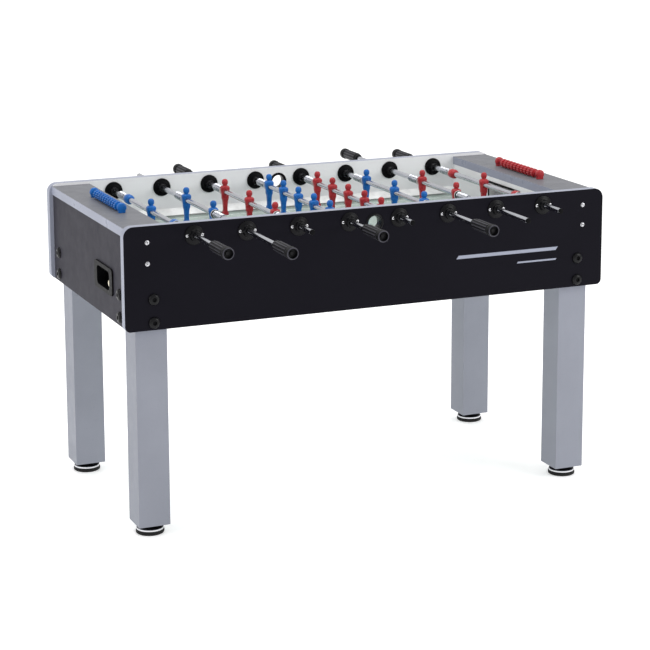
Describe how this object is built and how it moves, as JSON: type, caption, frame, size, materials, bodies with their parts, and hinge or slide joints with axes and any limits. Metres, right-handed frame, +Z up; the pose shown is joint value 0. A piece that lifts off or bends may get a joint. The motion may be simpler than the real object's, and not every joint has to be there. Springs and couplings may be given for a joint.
{
  "type": "foosball table",
  "caption": "Free-standing foosball table with black sides, grey square legs, sliding and turning player rods, score counters and ball return cups.",
  "frame": {"origin": "centre of the table on the floor", "axes": "+X along the table towards the red goal, +Y towards the far long side, +Z up"},
  "size_m": [1.5, 1.45, 0.922],
  "materials": {
    "side_laminate": "chipboard with black melamine laminate, light sheen",
    "end_laminate": "chipboard with dark grey melamine laminate, satin",
    "cover_laminate": "chipboard with grey melamine laminate, satin",
    "inner_wood": "plain board, unpainted",
    "white_board": "board with white laminate, satin",
    "field_glass": "clear, polished",
    "field_board": "printed pale green board",
    "black_plastic": "moulded, fine texture",
    "rod_chrome": "polished",
    "leg_paint": "laminated wood post with grey foil, satin",
    "foot_rubber": "black, matt",
    "blue_plastic": "moulded, glossy",
    "red_plastic": "moulded, glossy",
    "grip_rubber": "black, matt",
    "bumper_rubber": "black, matt"
  },
  "bodies": {
    "cabinet": {"near_side_panel": "side_laminate", "far_side_panel": "side_laminate", "left_end_panel": "end_laminate", "right_end_panel": "end_laminate", "top_covers": "cover_laminate", "corner_blocks": "inner_wood", "goal_walls": "white_board", "playfield_glass": "field_glass", "playfield_board": "field_board", "side_strips": "white_board", "ball_return_ramps": "inner_wood", "ball_return_cups": "black_plastic", "ball_entry_cups": "black_plastic", "rod_bearings": "black_plastic", "panel_screws": "rod_chrome", "leg_bolts": "black_plastic", "front_left_leg": "leg_paint", "front_right_leg": "leg_paint", "rear_left_leg": "leg_paint", "rear_right_leg": "leg_paint", "score_counter_frames": "black_plastic"},
    "front_left_foot": {"front_left_foot": "foot_rubber"},
    "front_right_foot": {"front_right_foot": "foot_rubber"},
    "rear_left_foot": {"rear_left_foot": "foot_rubber"},
    "rear_right_foot": {"rear_right_foot": "foot_rubber"},
    "blue_score_beads": {"blue_score_beads": "blue_plastic"},
    "red_score_beads": {"red_score_beads": "red_plastic"},
    "blue_goalie_bumpers": {"blue_goalie_bumpers": "bumper_rubber"},
    "blue_goalie_rod": {"blue_goalie_rod": "rod_chrome", "blue_goalie_players": "blue_plastic", "blue_goalie_handle": "grip_rubber"},
    "blue_defence_bumpers": {"blue_defence_bumpers": "bumper_rubber"},
    "blue_defence_rod": {"blue_defence_rod": "rod_chrome", "blue_defence_players": "blue_plastic", "blue_defence_handle": "grip_rubber"},
    "red_attack_bumpers": {"red_attack_bumpers": "bumper_rubber"},
    "red_attack_rod": {"red_attack_rod": "rod_chrome", "red_attack_players": "red_plastic", "red_attack_handle": "grip_rubber"},
    "blue_midfield_bumpers": {"blue_midfield_bumpers": "bumper_rubber"},
    "blue_midfield_rod": {"blue_midfield_rod": "rod_chrome", "blue_midfield_players": "blue_plastic", "blue_midfield_handle": "grip_rubber"},
    "red_midfield_bumpers": {"red_midfield_bumpers": "bumper_rubber"},
    "red_midfield_rod": {"red_midfield_rod": "rod_chrome", "red_midfield_players": "red_plastic", "red_midfield_handle": "grip_rubber"},
    "blue_attack_bumpers": {"blue_attack_bumpers": "bumper_rubber"},
    "blue_attack_rod": {"blue_attack_rod": "rod_chrome", "blue_attack_players": "blue_plastic", "blue_attack_handle": "grip_rubber"},
    "red_defence_bumpers": {"red_defence_bumpers": "bumper_rubber"},
    "red_defence_rod": {"red_defence_rod": "rod_chrome", "red_defence_players": "red_plastic", "red_defence_handle": "grip_rubber"},
    "red_goalie_bumpers": {"red_goalie_bumpers": "bumper_rubber"},
    "red_goalie_rod": {"red_goalie_rod": "rod_chrome", "red_goalie_players": "red_plastic", "red_goalie_handle": "grip_rubber"}
  },
  "joints": [
    {"name": "front_left_foot_height", "type": "slide", "parent": "cabinet", "child": "front_left_foot", "axis": [0, 0, -1], "range_m": [0, 0.015]},
    {"name": "front_right_foot_height", "type": "slide", "parent": "cabinet", "child": "front_right_foot", "axis": [0, 0, -1], "range_m": [0, 0.015]},
    {"name": "rear_left_foot_height", "type": "slide", "parent": "cabinet", "child": "rear_left_foot", "axis": [0, 0, -1], "range_m": [0, 0.015]},
    {"name": "rear_right_foot_height", "type": "slide", "parent": "cabinet", "child": "rear_right_foot", "axis": [0, 0, -1], "range_m": [0, 0.015]},
    {"name": "blue_score_beads_slide", "type": "slide", "parent": "cabinet", "child": "blue_score_beads", "axis": [0, 1, 0], "range_m": [-0.015, 0.015]},
    {"name": "red_score_beads_slide", "type": "slide", "parent": "cabinet", "child": "red_score_beads", "axis": [0, 1, 0], "range_m": [-0.015, 0.015]},
    {"name": "blue_goalie_slide", "type": "slide", "parent": "cabinet", "child": "blue_goalie_bumpers", "axis": [0, 1, 0], "range_m": [-0.09, 0.11]},
    {"name": "blue_goalie_spin", "type": "hinge", "parent": "blue_goalie_bumpers", "child": "blue_goalie_rod", "pos_m": [-0.546, 0, 0.864], "axis": [0, 1, 0], "continuous": true},
    {"name": "blue_defence_slide", "type": "slide", "parent": "cabinet", "child": "blue_defence_bumpers", "axis": [0, 1, 0], "range_m": [-0.197, 0.183]},
    {"name": "blue_defence_spin", "type": "hinge", "parent": "blue_defence_bumpers", "child": "blue_defence_rod", "pos_m": [-0.39, 0, 0.864], "axis": [0, 1, 0], "continuous": true},
    {"name": "red_attack_slide", "type": "slide", "parent": "cabinet", "child": "red_attack_bumpers", "axis": [0, 1, 0], "range_m": [-0.106, 0.098]},
    {"name": "red_attack_spin", "type": "hinge", "parent": "red_attack_bumpers", "child": "red_attack_rod", "pos_m": [-0.234, 0, 0.864], "axis": [0, 1, 0], "continuous": true},
    {"name": "blue_midfield_slide", "type": "slide", "parent": "cabinet", "child": "blue_midfield_bumpers", "axis": [0, 1, 0], "range_m": [-0.068, 0.072]},
    {"name": "blue_midfield_spin", "type": "hinge", "parent": "blue_midfield_bumpers", "child": "blue_midfield_rod", "pos_m": [-0.078, 0, 0.864], "axis": [0, 1, 0], "continuous": true},
    {"name": "red_midfield_slide", "type": "slide", "parent": "cabinet", "child": "red_midfield_bumpers", "axis": [0, 1, 0], "range_m": [-0.051, 0.089]},
    {"name": "red_midfield_spin", "type": "hinge", "parent": "red_midfield_bumpers", "child": "red_midfield_rod", "pos_m": [0.078, 0, 0.864], "axis": [0, 1, 0], "continuous": true},
    {"name": "blue_attack_slide", "type": "slide", "parent": "cabinet", "child": "blue_attack_bumpers", "axis": [0, 1, 0], "range_m": [-0.086, 0.118]},
    {"name": "blue_attack_spin", "type": "hinge", "parent": "blue_attack_bumpers", "child": "blue_attack_rod", "pos_m": [0.234, 0, 0.864], "axis": [0, 1, 0], "continuous": true},
    {"name": "red_defence_slide", "type": "slide", "parent": "cabinet", "child": "red_defence_bumpers", "axis": [0, 1, 0], "range_m": [-0.183, 0.197]},
    {"name": "red_defence_spin", "type": "hinge", "parent": "red_defence_bumpers", "child": "red_defence_rod", "pos_m": [0.39, 0, 0.864], "axis": [0, 1, 0], "continuous": true},
    {"name": "red_goalie_slide", "type": "slide", "parent": "cabinet", "child": "red_goalie_bumpers", "axis": [0, 1, 0], "range_m": [-0.093, 0.107]},
    {"name": "red_goalie_spin", "type": "hinge", "parent": "red_goalie_bumpers", "child": "red_goalie_rod", "pos_m": [0.546, 0, 0.864], "axis": [0, 1, 0], "continuous": true}
  ]
}
